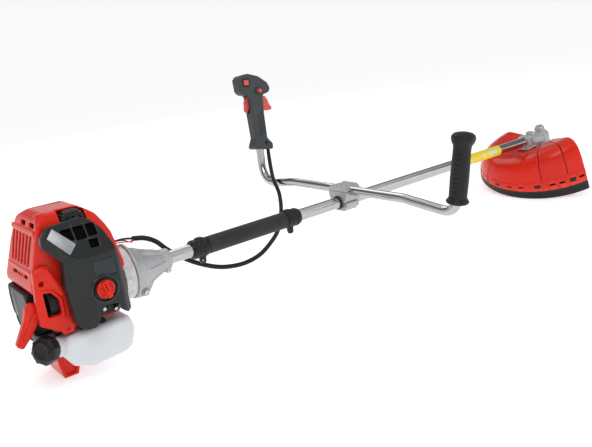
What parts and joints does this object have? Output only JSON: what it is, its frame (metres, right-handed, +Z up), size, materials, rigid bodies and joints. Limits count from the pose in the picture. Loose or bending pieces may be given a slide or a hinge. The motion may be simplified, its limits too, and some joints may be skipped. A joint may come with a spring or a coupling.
{
  "type": "string trimmer",
  "caption": "Petrol string trimmer: rear engine with recoil starter, straight drive tube, wide two-grip handlebar with throttle, and a guarded bump-feed line head.",
  "frame": {"origin": "middle of the bounding footprint (cable and wires left out), on the ground the foot and the guard skirt stand on", "axes": "+X forward along the drive tube from the engine to the line head, +Y to the user's left, +Z up, square to the ground"},
  "size_m": [1.7978, 0.7782, 0.4752],
  "materials": {
    "red_plastic": "moulded, glossy",
    "charcoal_plastic": "moulded, fine grain",
    "black_plastic": "moulded, fine grain",
    "grey_plastic": "moulded, fine grain",
    "tank_plastic": "milky blow-moulded polyethylene",
    "cast_alloy": "die cast",
    "tube_alloy": "polished, drawn",
    "steel": "machined",
    "rubber": "moulded",
    "foam": "closed-cell foam",
    "label_film": "printed film, no text",
    "bronze": "sintered",
    "filter_paper": "pleated paper",
    "line_nylon": "extruded nylon"
  },
  "bodies": {
    "machine": {"throttle_handle": "grey_plastic", "gear_case": "cast_alloy", "guard": "red_plastic", "guard_skirt": "black_plastic", "line_cutter": "steel", "guard_bracket": "cast_alloy", "clutch_housing": "cast_alloy", "crankcase": "cast_alloy", "cylinder": "cast_alloy", "piston": "cast_alloy", "spark_plug": "steel", "ignition_coil": "black_plastic", "carburettor": "cast_alloy", "filter_element": "filter_paper", "muffler": "steel", "engine_shroud": "red_plastic", "plug_cover": "black_plastic", "side_frame": "red_plastic", "air_filter_cover": "charcoal_plastic", "starter_housing": "charcoal_plastic", "fuel_tank": "tank_plastic", "drive_tube": "tube_alloy", "shaft_bush": "bronze", "foam_grip": "foam", "strap_ring_rear": "black_plastic", "strap_ring_front": "black_plastic", "warning_label": "label_film", "handlebar": "tube_alloy", "bar_clamp_lower": "cast_alloy", "bar_clamp_block": "cast_alloy", "bar_clamp_cap": "cast_alloy", "tube_bush": "rubber", "plain_grip": "rubber", "cable_sleeve": "rubber", "throttle_cable": "black_plastic", "kill_wire_red": "red_plastic", "kill_wire_black": "black_plastic", "foot_stand": "red_plastic"},
    "crank": {"crankshaft": "steel", "flywheel_fan": "cast_alloy", "clutch_shoes": "steel"},
    "drive": {"clutch_drum": "steel", "drive_shaft": "steel", "bevel_pinion": "steel"},
    "line_head": {"output_shaft": "steel", "line_head_housing": "black_plastic", "line_head_cover": "black_plastic", "trimmer_line_a": "line_nylon", "trimmer_line_b": "line_nylon"},
    "bump_feed": {"bump_knob": "red_plastic", "line_spool": "red_plastic"},
    "pulley": {"recoil_pulley": "black_plastic"},
    "pull_grip": {"starter_grip": "red_plastic", "starter_rope": "rubber"},
    "filter_knob": {"cover_knob": "red_plastic"},
    "tank_cap": {"fuel_cap": "black_plastic"},
    "trigger": {"throttle_trigger": "red_plastic"},
    "lockout": {"lockout_lever": "red_plastic"},
    "switch_rocker": {"stop_switch": "red_plastic"},
    "throttle_lock": {"lock_button": "red_plastic"}
  },
  "joints": [
    {"name": "crank_spin", "type": "hinge", "parent": "machine", "child": "crank", "pos_m": [-0.73873, -0.00297, 0.15796], "axis": [1, 0, 0], "continuous": true},
    {"name": "drive_spin", "type": "hinge", "parent": "machine", "child": "drive", "pos_m": [-0.65373, -0.00297, 0.15796], "axis": [1, 0, 0], "continuous": true},
    {"name": "head_spin", "type": "hinge", "parent": "machine", "child": "line_head", "pos_m": [0.79481, -0.00297, 0.10028], "axis": [-0.2756, 0, 0.9613], "continuous": true},
    {"name": "bump_push", "type": "slide", "parent": "line_head", "child": "bump_feed", "axis": [-0.2756, 0, 0.9613], "range_m": [0, 0.005], "stiffness_N_per_m": 800, "springref_m": -0.004},
    {"name": "recoil_spin", "type": "hinge", "parent": "machine", "child": "pulley", "pos_m": [-0.83073, -0.00297, 0.15796], "axis": [1, 0, 0], "range_deg": [0, 360]},
    {"name": "starter_pull", "type": "slide", "parent": "machine", "child": "pull_grip", "axis": [-0.5902, 0, -0.8073], "range_m": [0, 0.15], "stiffness_N_per_m": 20, "springref_m": -0.1},
    {"name": "cover_knob_turn", "type": "hinge", "parent": "machine", "child": "filter_knob", "pos_m": [-0.74673, -0.12797, 0.18196], "axis": [0, -1, 0], "range_deg": [0, 90]},
    {"name": "fuel_cap_turn", "type": "hinge", "parent": "machine", "child": "tank_cap", "pos_m": [-0.85073, -0.08158, 0.09156], "axis": [-0.8003, -0.5302, 0.2801], "range_deg": [0, 270]},
    {"name": "trigger_squeeze", "type": "hinge", "parent": "machine", "child": "trigger", "pos_m": [-0.02576, 0.3657, 0.40522], "axis": [0, 0.9946, -0.1034], "range_deg": [0, 18], "stiffness_Nm_per_rad": 0.3, "springref_deg": -5.73},
    {"name": "lockout_press", "type": "hinge", "parent": "machine", "child": "lockout", "pos_m": [-0.05942, 0.36624, 0.41043], "axis": [0, -0.9946, 0.1034], "range_deg": [0, 9], "stiffness_Nm_per_rad": 0.3, "springref_deg": -5.73},
    {"name": "stop_switch_rock", "type": "hinge", "parent": "machine", "child": "switch_rocker", "pos_m": [-0.06863, 0.35746, 0.45163], "axis": [-0.0955, -0.103, -0.9901], "range_deg": [0, 5]},
    {"name": "lock_button_press", "type": "slide", "parent": "machine", "child": "throttle_lock", "axis": [0, 0.9946, -0.1034], "range_m": [0, 0.003], "stiffness_N_per_m": 300, "springref_m": -0.002}
  ],
  "couplings": [
    {"joint": "drive_spin", "follows": "head_spin", "ratio": -1.5833},
    {"joint": "recoil_spin", "follows": "starter_pull", "rad_per_m": 41.667}
  ]
}
